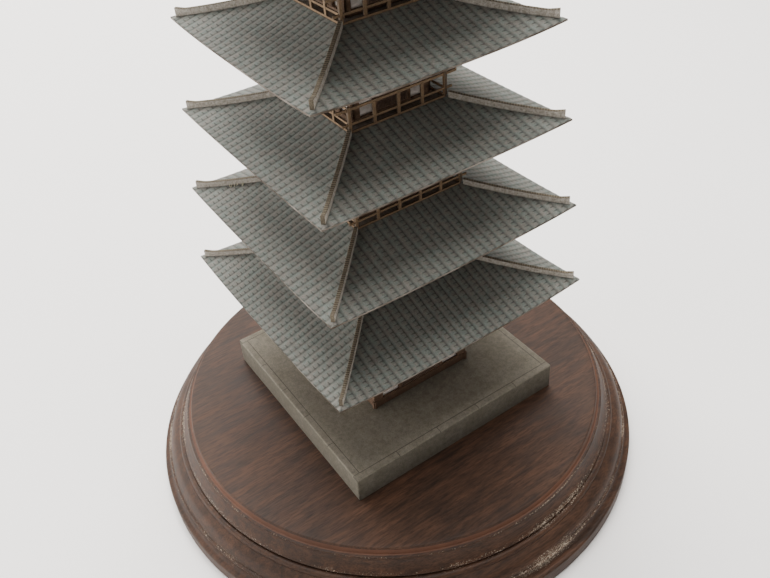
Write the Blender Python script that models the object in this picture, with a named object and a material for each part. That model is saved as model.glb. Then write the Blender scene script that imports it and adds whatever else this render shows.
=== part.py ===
"""Five-storey pagoda, a card model on a turned wooden stand.

Metres, +Z up. The origin is the centre of the stand's underside. The four
faces look along X and Y. A half is half the width of a square piece.
"""
import math

import bmesh
import bpy
from mathutils import Matrix, Vector

# Common sizes
GAP = 0.00025
MERGE = 0.000001
SIDES = 4
STOREYS = 5
ROOT_TWO = math.sqrt(2)
SMOOTH_ANGLE = math.radians(30)
SPLIT = 0.00001

# Stand, turned from one disc of wood
STAND_SEGMENTS = 48
STAND_HEIGHT = 0.0255
STAND_TOP_RADIUS = 0.0763
STAND_EDGE_RADIUS = 0.0783
STAND_EDGE_DROP = 0.0023
STAND_BAND_RADIUS = 0.0810
STAND_BAND_DROP = 0.0081
STAND_BAND_HOLLOW = 0.0003
STAND_LIP_WIDTH = 0.0013
STAND_LIP_HEIGHT = 0.0007
STAND_GROOVE_DEPTH = 0.0005
STAND_GROOVE_DROP = 0.0009
STAND_BEAD_RADIUS = 0.0013
STAND_BEAD_TURN = (90, -10)
STAND_BEAD_STEPS = 3
STAND_ROUND_RADIUS = 0.0054
STAND_ROUND_SET = 0.0008
STAND_ROUND_TURN = (62, 10)
STAND_ROUND_STEPS = 4
STAND_LEDGE_RADIUS = 0.0879
STAND_LEDGE_HEIGHT = 0.0101
STAND_LEDGE_THICKNESS = 0.0010
STAND_NECK_RADIUS = 0.0880
STAND_FOOT_RADIUS = 0.0903
STAND_FOOT_HEIGHT = 0.0066
STAND_FOOT_LIP = 0.0008
STAND_FOOT_ROUNDING = 0.0012

# Podium, a square card block
PODIUM_HALF = 0.0420
PODIUM_TOP = 0.0360
PODIUM_ROUNDING = 0.0008
PODIUM_ROUNDING_STEPS = 2

# Storeys
FIRST_BODY_HALF = 0.0202
BODY_SETBACK = 0.0028
BALCONY_HALVES = (0.0220, 0.0191, 0.0162, 0.0145)
CARD = 0.0008
CUTTER_REACH = 0.0020

# Roofs: four concave faces that meet at lifted corners
FIRST_ROOF_HALF = 0.04670
ROOF_HALF_STEP = 0.00244
FIRST_TIP_RISE = 0.04072
STOREY_RISE = 0.02907
DECK_RISE = 0.00653
EAVE_SAGS = (0.0014, 0.0011, 0.0007, 0.0012, 0.0011)
EAVE_POWER = 2.8
ROOF_CARD = 0.0005
ROOF_FLAT_SHARE = 0.6
ROOF_SEAT_DROP = 0.0004
ROOF_COLUMNS = 6
ROOF_ROWS = 4
SEAT_MARGIN = 0.0004
SEAT_INSET = 0.0020
TOP_ROOF_RISE = 0.0130
TOP_ROOF_SEAT_HALF = 0.0056
TOP_ROOF_HOLE_HALF = 0.0020

# Eaves boards under the roofs
EAVES_INSET = 0.0024
EAVES_THICKNESS = 0.0008
EAVES_SLOPE = 0.10

# Timber layer: sill, head beam, posts and closed doors in one sheet
FRAME_THICKNESS = 0.0010
DOOR_RECESS = 0.0004
DOOR_BAY_SHARE = 0.47
DOOR_POST_WIDTH = 0.0012
CORNER_POST_SHARE = 0.19
FIRST_SILL = 0.0033
UPPER_SILL = 0.0014
HEAD_BEAM = 0.0018

# Bracket tiers
FIRST_BRACKET_HEIGHT = 0.0105
UPPER_BRACKET_HEIGHT = 0.0080
BRACKET_STEPS = 2
BRACKET_PLATE_PROUD = 0.0002
BRACKET_REACH = 0.0085
BRACKET_ARM_WIDTH = 0.0014
PURLIN_WIDTH = 0.0014
PURLIN_HEIGHT = 0.0013

# Hip ridges and the sill rail that joins them
RIDGE_WIDTH = 0.0015
RIDGE_HEIGHT = 0.0020
RIDGE_END_HEIGHT = 0.0022
RIDGE_SHORTFALL = 0.00145
RIDGE_ROWS = 4
RIDGE_CLEARANCE = 0.0009
RIDGE_STEP_RUN = 0.0001
SILL_RAIL_HEIGHT = 0.0006
SILL_RAIL_WIDTH = 0.0006
TOP_PLATE_HEIGHT = 0.0006

# Balustrades on storeys 2 to 5
LOWER_BAYS = 5
UPPER_BAYS = 4
LAST_FIVE_BAY_STOREY = 3
RAIL_THICKNESS = 0.0005
POST_THICKNESS = 0.0007
POST_WIDTH = 0.0010
MIDDLE_RAIL_FOOT = 0.0019
MIDDLE_RAIL_HEIGHT = 0.0007
MIDDLE_RAIL_REACH = 0.0024
TOP_RAIL_FOOT = 0.0062
TOP_RAIL_HEIGHT = 0.0008
TOP_RAIL_REACH = 0.0041
CORNER_POST_RISE = 0.0004

# Mast above the top roof
MAST_SEGMENTS = 12
BASIN_HALF = 0.0044
BASIN_HEIGHT = 0.0042
BASIN_LIP = 0.0005
BASIN_LIP_HEIGHT = 0.0010
BOWL_RADIUS = 0.0036
BOWL_HEIGHT = 0.0026
BOWL_STEPS = 4
LOTUS_RADIUS = 0.0042
LOTUS_HEIGHT = 0.0016
MAST_RADIUS = 0.0008
RING_COUNT = 9
RING_SPACING = 0.0052
RING_FIRST_RADIUS = 0.0042
RING_LAST_RADIUS = 0.0030
RING_THICKNESS = 0.0008
MAST_CLEARANCE = 0.0030
FLAME_HEIGHT = 0.0110
FLAME_HALF_WIDTH = 0.0034
FLAME_THICKNESS = 0.0007
FLAME_SHOULDER = 0.35
JEWEL_RADIUS = 0.0019
DRAGON_WHEEL_RADIUS = 0.0015
JEWEL_STEM_RADIUS = 0.0005
JEWEL_STEM_HEIGHT = 0.0010
JEWEL_STEPS = 6

# Colours as linear red, green and blue
WOOD = (0.045, 0.026, 0.018)
PODIUM_CARD = (0.135, 0.130, 0.105)
PLASTER = (0.70, 0.67, 0.61)
TIMBER = (0.060, 0.036, 0.020)
RAIL_CARD = (0.170, 0.100, 0.050)
TILE = (0.090, 0.110, 0.115)
RIDGE_CARD = (0.110, 0.098, 0.085)
METAL = (0.070, 0.060, 0.050)
CARD_ROUGHNESS = 0.8
TILE_ROUGHNESS = 0.7
WOOD_ROUGHNESS = 0.45
METAL_ROUGHNESS = 0.5
METAL_METALLIC = 0.6


def clear_scene():
    """Remove every object that the new file opens with."""
    for old in list(bpy.data.objects):
        bpy.data.objects.remove(old, do_unlink=True)


def make_material(name, colour, roughness, metallic=0.0):
    """One plain surface, named after its piece."""
    material = bpy.data.materials.new(name)
    material.use_nodes = True
    shader = material.node_tree.nodes["Principled BSDF"]
    shader.inputs["Base Color"].default_value = (*colour, 1.0)
    shader.inputs["Roughness"].default_value = roughness
    shader.inputs["Metallic"].default_value = metallic
    return material


def add_object(name, bm, colour=None, roughness=CARD_ROUGHNESS, metallic=0.0):
    """Turn a mesh under construction into a named object."""
    bmesh.ops.remove_doubles(bm, verts=bm.verts, dist=MERGE)
    bmesh.ops.recalc_face_normals(bm, faces=bm.faces)
    mesh = bpy.data.meshes.new(name)
    bm.to_mesh(mesh)
    bm.free()
    piece = bpy.data.objects.new(name, mesh)
    bpy.context.scene.collection.objects.link(piece)
    if colour is not None:
        mesh.materials.append(make_material(name, colour, roughness, metallic))
    return piece


def shade_round(piece):
    """Shade a turned piece smooth, with its real edges kept sharp."""
    piece.data.shade_smooth()
    piece.data.set_sharp_from_angle(angle=SMOOTH_ANGLE)


def combine(piece, operation, *tools):
    """Cut or join the piece with each tool, then keep the plain result."""
    for tool in tools:
        modifier = piece.modifiers.new(operation.lower(), "BOOLEAN")
        modifier.operation = operation
        modifier.solver = "EXACT"
        modifier.object = tool
    graph = bpy.context.evaluated_depsgraph_get()
    mesh = bpy.data.meshes.new_from_object(piece.evaluated_get(graph))
    material = piece.data.materials[0]
    piece.modifiers.clear()
    piece.data = mesh
    mesh.materials.clear()
    mesh.materials.append(material)
    mesh.name = piece.name
    for tool in tools:
        bpy.data.objects.remove(tool, do_unlink=True)


def add_box(bm, x_range, y_range, z_range, turn=None):
    """Add one box between the given limits, turned about Z if asked."""
    sizes = [high - low for low, high in (x_range, y_range, z_range)]
    centre = [(high + low) / 2 for low, high in (x_range, y_range, z_range)]
    matrix = Matrix.Translation(centre) @ Matrix.Diagonal((*sizes, 1.0))
    if turn is not None:
        matrix = turn @ matrix
    bmesh.ops.create_cube(bm, size=1.0, matrix=matrix)


def quarter_turn(side):
    """Turn the piece made for the +X face onto one of the four faces."""
    return Matrix.Rotation(side * math.tau / SIDES, 4, "Z")


def spin_profile(bm, profile, steps, across, closed):
    """Spin a line of points about Z; across gives each point's place."""
    verts = [bm.verts.new(across(width, height)) for width, height in profile]
    edges = [bm.edges.new(pair) for pair in zip(verts, verts[1:])]
    if closed:
        edges.append(bm.edges.new((verts[-1], verts[0])))
    bmesh.ops.spin(
        bm, geom=verts + edges, cent=(0, 0, 0), axis=(0, 0, 1),
        dvec=(0, 0, 0), angle=math.tau, steps=steps, use_merge=True,
    )
    bmesh.ops.remove_doubles(bm, verts=bm.verts, dist=MERGE)


def on_corner(half, height):
    """A point on the corner line of a square piece."""
    return (half, half, height)


def on_radius(radius, height):
    """A point on the side line of a round piece."""
    return (radius, 0.0, height)


def square_ring(bm, outer, inner, low, high):
    """Add a square tube with mitred corners."""
    profile = [(outer, low), (outer, high), (inner, high), (inner, low)]
    spin_profile(bm, profile, SIDES, on_corner, True)


def square_block(bm, profile):
    """Add a solid square piece from the outline of its corner."""
    spin_profile(bm, profile, SIDES, on_corner, False)


def turned(name, profile, segments, colour, roughness, metallic=0.0):
    """Make a round piece from its outline, axis to axis."""
    bm = bmesh.new()
    spin_profile(bm, profile, segments, on_radius, False)
    piece = add_object(name, bm, colour, roughness, metallic)
    shade_round(piece)
    return piece


def roof_half(storey):
    """Half the width of a roof at its eaves."""
    return FIRST_ROOF_HALF - ROOF_HALF_STEP * (storey - 1)


def tip_height(storey):
    """Height of a roof's four corner tips."""
    return PODIUM_TOP + FIRST_TIP_RISE + STOREY_RISE * (storey - 1)


def deck_height(storey):
    """Height that a storey's walls and balustrade start from."""
    if storey == 1:
        return PODIUM_TOP
    return tip_height(storey - 1) + DECK_RISE


def balcony_half(storey):
    """Half the width of the balustrade of storeys 2 to 5."""
    return BALCONY_HALVES[storey - 2]


def body_half(storey):
    """Half the width over the timber layer of a storey."""
    if storey == 1:
        return FIRST_BODY_HALF
    return balcony_half(storey) - BODY_SETBACK


def wall_half(storey):
    """Half the width of a storey's plaster box."""
    return body_half(storey) - FRAME_THICKNESS - GAP


def seat_half(storey):
    """Half the width of the flat seat at the top of a roof."""
    if storey == STOREYS:
        return TOP_ROOF_SEAT_HALF
    return balcony_half(storey + 1) + SEAT_MARGIN


def seat_rise(storey):
    """Rise from a roof's corner tips to its flat seat."""
    if storey == STOREYS:
        return TOP_ROOF_RISE
    return DECK_RISE - ROOF_SEAT_DROP


def eave_dip(storey, share):
    """Drop of an eave below its tips, share running from -1 to 1."""
    return EAVE_SAGS[storey - 1] * (1 - abs(share) ** EAVE_POWER)


def roof_height(storey, half, share):
    """Height of the tiled surface, at a half width and a share along it."""
    run = roof_half(storey) - seat_half(storey)
    climb = min((roof_half(storey) - half) / run, 1.0)
    curve = ROOF_FLAT_SHARE * climb + (1 - ROOF_FLAT_SHARE) * climb ** 2
    rise = seat_rise(storey) * curve
    return tip_height(storey) + rise - eave_dip(storey, share) * (1 - climb)


def eaves_top(storey, half, share):
    """Height of the eaves board's upper face."""
    outer = roof_half(storey) - EAVES_INSET
    inner = wall_half(storey)
    edge = roof_height(storey, outer, 1.0) - ROOF_CARD - GAP
    fade = (half - inner) / (outer - inner)
    return edge + EAVES_SLOPE * (outer - half) - eave_dip(storey, share) * fade


def sheet_ring(bm, halves, height_at, thickness):
    """Grow a square sheet inwards, ring by ring, then give it thickness."""
    corners = [(1, -1), (1, 1), (-1, 1), (-1, -1)]
    verts = []
    for side, start in enumerate(corners):
        end = corners[(side + 1) % SIDES]
        for column in range(ROOF_COLUMNS):
            part = column / ROOF_COLUMNS
            place = Vector(start).lerp(Vector(end), part) * halves[0]
            height = height_at(halves[0], 2 * part - 1)
            verts.append(bm.verts.new((place.x, place.y, height)))
    edges = [bm.edges.new(pair) for pair in zip(verts, verts[1:] + verts[:1])]
    for previous, half in zip(halves, halves[1:]):
        grown = bmesh.ops.extrude_edge_only(bm, edges=edges)["geom"]
        edges = [item for item in grown if isinstance(item, bmesh.types.BMEdge)]
        for vert in (v for v in grown if isinstance(v, bmesh.types.BMVert)):
            vert.co.x *= half / previous
            vert.co.y *= half / previous
            share = min(abs(vert.co.x), abs(vert.co.y)) / half
            vert.co.z = height_at(half, share)
    grown = bmesh.ops.extrude_face_region(bm, geom=bm.faces[:])["geom"]
    low = [item for item in grown if isinstance(item, bmesh.types.BMVert)]
    bmesh.ops.translate(bm, verts=low, vec=(0, 0, -thickness))


def moulding(radius, height, size, turn, steps):
    """Points of a rounded moulding, between two angles in degrees."""
    first, last = turn
    points = []
    for step in range(steps + 1):
        angle = math.radians(first + (last - first) * step / steps)
        points.append((radius + size * math.cos(angle), height + size * math.sin(angle)))
    return points


def make_stand():
    """The wooden stand: flat top, fine lip, steep band, bead, round, ledge and foot."""
    lip_top = STAND_HEIGHT - STAND_EDGE_DROP
    lip_low = lip_top - STAND_LIP_HEIGHT
    band_low = STAND_HEIGHT - STAND_BAND_DROP
    groove = band_low - STAND_GROOVE_DROP
    bead = STAND_BAND_RADIUS + STAND_GROOVE_DEPTH
    swell = STAND_BAND_RADIUS + STAND_ROUND_SET
    ledge_low = STAND_LEDGE_HEIGHT - STAND_LEDGE_THICKNESS
    profile = [(0.0, STAND_HEIGHT), (STAND_TOP_RADIUS, STAND_HEIGHT)]
    profile.append((STAND_EDGE_RADIUS - STAND_LIP_WIDTH, lip_top))
    profile.append((STAND_EDGE_RADIUS, lip_top))
    profile.append((STAND_EDGE_RADIUS, lip_low))
    middle_radius = (STAND_EDGE_RADIUS + STAND_BAND_RADIUS) / 2
    profile.append((middle_radius - STAND_BAND_HOLLOW, (lip_low + band_low) / 2))
    profile.append((STAND_BAND_RADIUS, band_low))
    profile.append((STAND_BAND_RADIUS - STAND_GROOVE_DEPTH, groove))
    profile += moulding(
        bead, groove - STAND_BEAD_RADIUS, STAND_BEAD_RADIUS,
        STAND_BEAD_TURN, STAND_BEAD_STEPS,
    )
    profile += moulding(
        swell, STAND_LEDGE_HEIGHT - STAND_ROUND_SET, STAND_ROUND_RADIUS,
        STAND_ROUND_TURN, STAND_ROUND_STEPS,
    )
    profile.append((STAND_LEDGE_RADIUS, STAND_LEDGE_HEIGHT))
    profile.append((STAND_LEDGE_RADIUS, ledge_low))
    profile.append((STAND_NECK_RADIUS, (ledge_low + STAND_FOOT_HEIGHT) / 2))
    profile.append((STAND_FOOT_RADIUS - STAND_FOOT_LIP, STAND_FOOT_HEIGHT))
    profile.append((STAND_FOOT_RADIUS, STAND_FOOT_HEIGHT - STAND_FOOT_LIP))
    profile.append((STAND_FOOT_RADIUS, STAND_FOOT_ROUNDING))
    profile.append((STAND_FOOT_RADIUS - STAND_FOOT_ROUNDING, 0.0))
    profile.append((0.0, 0.0))
    turned("stand", profile, STAND_SEGMENTS, WOOD, WOOD_ROUGHNESS)


def make_podium():
    """The square podium, its top and corner edges softly rounded."""
    bm = bmesh.new()
    span = (-PODIUM_HALF, PODIUM_HALF)
    add_box(bm, span, span, (STAND_HEIGHT + GAP, PODIUM_TOP))
    edges = [edge for edge in bm.edges if max(v.co.z for v in edge.verts) > STAND_HEIGHT + CARD]
    bmesh.ops.bevel(
        bm, geom=edges, offset=PODIUM_ROUNDING, offset_type="OFFSET",
        segments=PODIUM_ROUNDING_STEPS, profile=0.5, affect="EDGES", material=-1,
    )
    add_object("podium", bm, PODIUM_CARD)


def storey_foot(storey):
    """Height of the underside of a storey's walls."""
    if storey == 1:
        return PODIUM_TOP + GAP
    return deck_height(storey) - ROOF_SEAT_DROP + GAP


def bracket_top(storey):
    """Height of the purlin's top, just under the eaves board."""
    purlin = body_half(storey) + BRACKET_REACH + PURLIN_WIDTH
    return eaves_top(storey, purlin, 0.0) - EAVES_THICKNESS - GAP


def bracket_foot(storey):
    """Height where the bracket tier starts above the timber layer."""
    if storey == 1:
        return bracket_top(storey) - FIRST_BRACKET_HEIGHT
    return bracket_top(storey) - UPPER_BRACKET_HEIGHT


def sill_height(storey):
    """Height of the sill of a storey's timber layer."""
    return FIRST_SILL if storey == 1 else UPPER_SILL


def frame_top(storey):
    """Top of the head beam of a storey's timber layer."""
    return bracket_foot(storey) - GAP


def door_half(storey):
    """Half the width of the double door of a storey."""
    return body_half(storey) * DOOR_BAY_SHARE - DOOR_POST_WIDTH


def make_walls(storey):
    """A plaster box, open above and below, a doorway in each side."""
    half = wall_half(storey)
    low = storey_foot(storey)
    seat = tip_height(storey) + DECK_RISE - ROOF_SEAT_DROP
    bm = bmesh.new()
    square_ring(bm, half, half - CARD, low, seat - ROOF_CARD - GAP)
    walls = add_object(f"walls_{storey}", bm, PLASTER)
    cutter = bmesh.new()
    door = door_half(storey)
    door_low = low + sill_height(storey)
    door_high = frame_top(storey) - HEAD_BEAM
    for side in range(SIDES):
        depth = (half - CUTTER_REACH, half + CUTTER_REACH)
        add_box(cutter, depth, (-door, door), (door_low, door_high), quarter_turn(side))
    combine(walls, "DIFFERENCE", add_object("doorways", cutter))


def make_frame(storey):
    """The brown timber layer around a storey, with its closed doors."""
    outer = body_half(storey)
    inner = outer - FRAME_THICKNESS
    low = storey_foot(storey)
    high = frame_top(storey)
    bm = bmesh.new()
    square_ring(bm, outer, inner, low, high)
    frame = add_object(f"timber_frame_{storey}", bm, TIMBER)
    cutter = bmesh.new()
    door = door_half(storey)
    panel = (door + DOOR_POST_WIDTH, outer * (1 - CORNER_POST_SHARE))
    mirrored = (-panel[1], -panel[0])
    bay = (low + sill_height(storey), high - HEAD_BEAM)
    through = (inner - CUTTER_REACH, outer + CUTTER_REACH)
    recess = (outer - DOOR_RECESS, outer + CUTTER_REACH)
    for side in range(SIDES):
        turn = quarter_turn(side)
        add_box(cutter, through, panel, bay, turn)
        add_box(cutter, through, mirrored, bay, turn)
        add_box(cutter, recess, (-door, door), bay, turn)
    combine(frame, "DIFFERENCE", add_object("panels", cutter))


def bracket_arm(bm, start, reach, low, high, matrix):
    """Add one stepped board that carries the purlin."""
    step_height = (high - low) / BRACKET_STEPS
    outline = [(start, low)]
    for step in range(1, BRACKET_STEPS + 1):
        out = start + (reach - start) * step / BRACKET_STEPS
        outline.append((out, low + step_height * (step - 1)))
        outline.append((out, low + step_height * step))
    outline.append((start, high))
    side = -BRACKET_ARM_WIDTH / 2
    verts = [bm.verts.new(matrix @ Vector((x, side, z))) for x, z in outline]
    face = bm.faces.new(verts)
    grown = bmesh.ops.extrude_face_region(bm, geom=[face])["geom"]
    moved = [item for item in grown if isinstance(item, bmesh.types.BMVert)]
    across = matrix.to_3x3() @ Vector((0, BRACKET_ARM_WIDTH, 0))
    bmesh.ops.translate(bm, verts=moved, vec=across)


def make_brackets(storey):
    """Wall plate, stepped arms at the posts and corners, and the purlin."""
    half = body_half(storey)
    inner = half - FRAME_THICKNESS
    plate = half + BRACKET_PLATE_PROUD
    reach = half + BRACKET_REACH
    low = bracket_foot(storey)
    high = bracket_top(storey)
    bm = bmesh.new()
    square_ring(bm, plate, inner, low, high)
    tier = add_object(f"bracket_tier_{storey}", bm, TIMBER)
    arms = bmesh.new()
    start = (inner + plate) / 2
    arm_high = high - PURLIN_HEIGHT / 2
    post = door_half(storey) + DOOR_POST_WIDTH / 2
    for side in range(SIDES):
        for offset in (-post, post):
            matrix = quarter_turn(side) @ Matrix.Translation((0, offset, 0))
            bracket_arm(arms, start, reach, low + SPLIT, arm_high, matrix)
        turn = Matrix.Rotation((side + 1 / 2) * math.tau / SIDES, 4, "Z")
        bracket_arm(arms, start * ROOT_TWO, reach * ROOT_TWO, low + SPLIT, arm_high, turn)
    purlin = bmesh.new()
    square_ring(purlin, reach + PURLIN_WIDTH / 2, reach - PURLIN_WIDTH / 2, high - PURLIN_HEIGHT, high)
    combine(tier, "UNION", add_object("arms", arms), add_object("purlin", purlin))


def make_eaves(storey):
    """The board of rafters from the wall to just inside the eave."""
    outer = roof_half(storey) - EAVES_INSET
    inner = wall_half(storey) + GAP
    bm = bmesh.new()
    sheet_ring(bm, (outer, inner), lambda half, share: eaves_top(storey, half, share), EAVES_THICKNESS)
    add_object(f"eaves_board_{storey}", bm, TIMBER)


def make_roof(storey):
    """One tiled roof: four concave faces around a flat seat."""
    outer = roof_half(storey)
    seat = seat_half(storey)
    steps = range(ROOF_ROWS + 1)
    halves = [outer + (seat - outer) * step / ROOF_ROWS for step in steps]
    if storey == STOREYS:
        halves.append(TOP_ROOF_HOLE_HALF)
    else:
        halves.append(wall_half(storey + 1) - SEAT_INSET)
    bm = bmesh.new()
    sheet_ring(bm, halves, lambda half, share: roof_height(storey, half, share), ROOF_CARD)
    add_object(f"roof_{storey}", bm, TILE, TILE_ROUGHNESS)


def ridge_strip(bm, storey, stations, turn):
    """Add one strip that follows the hip; a station is a place and height."""
    width = RIDGE_WIDTH / 2
    previous = None
    for half, tall in stations:
        foot = roof_height(storey, half, 1.0) + GAP
        if previous is None:
            foot += SPLIT / 2
        outline = [(-width, foot), (width, foot), (width, foot + tall), (-width, foot + tall)]
        section = [bm.verts.new(turn @ Vector((half * ROOT_TWO, y, z))) for y, z in outline]
        loop = [bm.edges.new(pair) for pair in zip(section, section[1:] + section[:1])]
        if previous is None:
            bm.faces.new(section)
        else:
            bmesh.ops.bridge_loops(bm, edges=previous + loop)
        previous = loop
    bm.faces.new(section)


def make_ridges(storey):
    """Four hip ridges on edge, joined by the sill rail or the top plate."""
    low = tip_height(storey) + seat_rise(storey) + GAP
    bm = bmesh.new()
    if storey == STOREYS:
        corner = TOP_ROOF_SEAT_HALF - RIDGE_CLEARANCE / 2
        high = low + TOP_PLATE_HEIGHT
        outer = TOP_ROOF_SEAT_HALF
        square_block(bm, [(0.0, low), (outer, low), (outer, high), (0.0, high)])
    else:
        corner = balcony_half(storey + 1)
        high = low + SILL_RAIL_HEIGHT
        outer = corner + SILL_RAIL_WIDTH / 2
        square_ring(bm, outer, corner - SILL_RAIL_WIDTH / 2, low, high)
    ridges = add_object(f"hip_ridges_{storey}", bm, RIDGE_CARD)
    strips = bmesh.new()
    first = corner + RIDGE_CLEARANCE
    end = roof_half(storey) - RIDGE_SHORTFALL
    tongue = (high - low) / 2
    stations = [(corner, tongue), (first, tongue)]
    start = first + RIDGE_STEP_RUN
    for row in range(RIDGE_ROWS):
        stations.append((start + (end - start) * row / RIDGE_ROWS, RIDGE_HEIGHT))
    stations.append((end, RIDGE_END_HEIGHT))
    for side in range(SIDES):
        turn = Matrix.Rotation((side + 1 / 2) * math.tau / SIDES, 4, "Z")
        ridge_strip(strips, storey, stations, turn)
    combine(ridges, "UNION", add_object("strips", strips))


def make_balustrade(storey):
    """Two rails on posts over the sill rail, long past the corners along X."""
    half = balcony_half(storey)
    deck = deck_height(storey)
    foot = deck - ROOF_SEAT_DROP + GAP + SILL_RAIL_HEIGHT + GAP
    rail_spans = [
        (deck + MIDDLE_RAIL_FOOT, deck + MIDDLE_RAIL_FOOT + MIDDLE_RAIL_HEIGHT, MIDDLE_RAIL_REACH),
        (deck + TOP_RAIL_FOOT, deck + TOP_RAIL_FOOT + TOP_RAIL_HEIGHT, TOP_RAIL_REACH),
    ]
    along_y = bmesh.new()
    along_x = bmesh.new()
    for low, high, reach in rail_spans:
        for place in (-half, half):
            across = (place - RAIL_THICKNESS / 2, place + RAIL_THICKNESS / 2)
            add_box(along_y, across, (-half, half), (low, high))
            add_box(along_x, (-half - reach, half + reach), across, (low, high))
    balustrade = add_object(f"balustrade_{storey}", along_y, RAIL_CARD)
    posts = bmesh.new()
    bays = LOWER_BAYS if storey <= LAST_FIVE_BAY_STOREY else UPPER_BAYS
    corner_high = deck + TOP_RAIL_FOOT + TOP_RAIL_HEIGHT + CORNER_POST_RISE
    high = deck + TOP_RAIL_FOOT + TOP_RAIL_HEIGHT / 2
    corner = (half - POST_WIDTH / 2, half + POST_WIDTH / 2)
    depth = (half - POST_THICKNESS / 2, half + POST_THICKNESS / 2)
    for side in range(SIDES):
        turn = quarter_turn(side)
        add_box(posts, corner, corner, (foot, corner_high), turn)
        for bay in range(1, bays):
            place = half * (2 * bay / bays - 1)
            across = (place - POST_WIDTH / 2, place + POST_WIDTH / 2)
            add_box(posts, depth, across, (foot, high), turn)
    combine(balustrade, "UNION", add_object("rails", along_x), add_object("posts", posts))


def make_basin(low):
    """The square dew basin with its projecting lip."""
    lip_low = low + BASIN_HEIGHT - BASIN_LIP_HEIGHT
    high = low + BASIN_HEIGHT
    lip = BASIN_HALF + BASIN_LIP
    bm = bmesh.new()
    square_block(bm, [
        (0.0, low), (BASIN_HALF, low), (BASIN_HALF, lip_low),
        (lip, lip_low), (lip, high), (0.0, high),
    ])
    add_object("dew_basin", bm, METAL, METAL_ROUGHNESS, METAL_METALLIC)
    return high + GAP


def make_bowl(low):
    """The inverted bowl with the lotus that flares above it."""
    profile = [(0.0, low), (BOWL_RADIUS, low)]
    for step in range(1, BOWL_STEPS):
        angle = step / BOWL_STEPS * math.pi / 2
        profile.append((BOWL_RADIUS * math.cos(angle), low + BOWL_HEIGHT * math.sin(angle)))
    high = low + BOWL_HEIGHT + LOTUS_HEIGHT
    profile.append((LOTUS_RADIUS, high))
    profile.append((0.0, high))
    turned("inverted_bowl", profile, MAST_SEGMENTS, METAL, METAL_ROUGHNESS, METAL_METALLIC)
    return high + GAP


def make_mast(low):
    """The shaft with its nine rings, smaller towards the top."""
    profile = [(0.0, low), (MAST_RADIUS, low)]
    for ring in range(RING_COUNT):
        part = ring / (RING_COUNT - 1)
        radius = RING_FIRST_RADIUS + (RING_LAST_RADIUS - RING_FIRST_RADIUS) * part
        foot = low + MAST_CLEARANCE + ring * RING_SPACING
        profile.append((MAST_RADIUS, foot))
        profile.append((radius, foot))
        profile.append((radius, foot + RING_THICKNESS))
        profile.append((MAST_RADIUS, foot + RING_THICKNESS))
    high = low + 2 * MAST_CLEARANCE + (RING_COUNT - 1) * RING_SPACING
    profile.append((MAST_RADIUS, high))
    profile.append((0.0, high))
    turned("ringed_mast", profile, MAST_SEGMENTS, METAL, METAL_ROUGHNESS, METAL_METALLIC)
    return high + GAP


def make_flame(low):
    """Two crossed plates in the shape of a flame."""
    high = low + FLAME_HEIGHT
    shoulder = low + FLAME_HEIGHT * FLAME_SHOULDER
    outline = [
        (MAST_RADIUS, low), (FLAME_HALF_WIDTH, shoulder), (MAST_RADIUS, high),
        (-MAST_RADIUS, high), (-FLAME_HALF_WIDTH, shoulder), (-MAST_RADIUS, low),
    ]
    plates = []
    for side in range(SIDES // 2):
        bm = bmesh.new()
        turn = quarter_turn(side)
        verts = [bm.verts.new(turn @ Vector((x, -FLAME_THICKNESS / 2, z))) for x, z in outline]
        face = bm.faces.new(verts)
        grown = bmesh.ops.extrude_face_region(bm, geom=[face])["geom"]
        moved = [item for item in grown if isinstance(item, bmesh.types.BMVert)]
        across = turn.to_3x3() @ Vector((0, FLAME_THICKNESS, 0))
        bmesh.ops.translate(bm, verts=moved, vec=across)
        plates.append(bm)
    flame = add_object("water_flame", plates[0], METAL, METAL_ROUGHNESS, METAL_METALLIC)
    combine(flame, "UNION", add_object("plate", plates[1]))
    return high + GAP


def make_jewel(low):
    """The dragon wheel and the jewel on their stem."""
    profile = [(0.0, low), (JEWEL_STEM_RADIUS, low)]
    foot = low + JEWEL_STEM_HEIGHT
    for radius in (DRAGON_WHEEL_RADIUS, JEWEL_RADIUS):
        for step in range(1, JEWEL_STEPS):
            angle = step / JEWEL_STEPS * math.pi
            height = foot + radius * (1 - math.cos(angle))
            profile.append((radius * math.sin(angle), height))
        foot += 2 * radius
    profile.append((0.0, foot))
    turned("jewel", profile, MAST_SEGMENTS, METAL, METAL_ROUGHNESS, METAL_METALLIC)


def make_pagoda():
    """Build every piece, from the stand up."""
    clear_scene()
    make_stand()
    make_podium()
    for storey in range(1, STOREYS + 1):
        make_walls(storey)
        make_frame(storey)
        make_brackets(storey)
        make_eaves(storey)
        make_roof(storey)
        make_ridges(storey)
        if storey > 1:
            make_balustrade(storey)
    level = tip_height(STOREYS) + TOP_ROOF_RISE + GAP + TOP_PLATE_HEIGHT + GAP
    level = make_basin(level)
    level = make_bowl(level)
    level = make_mast(level)
    level = make_flame(level)
    make_jewel(level)


make_pagoda()
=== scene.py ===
import math

import bmesh
import bpy
from mathutils import Matrix, Vector


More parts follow.
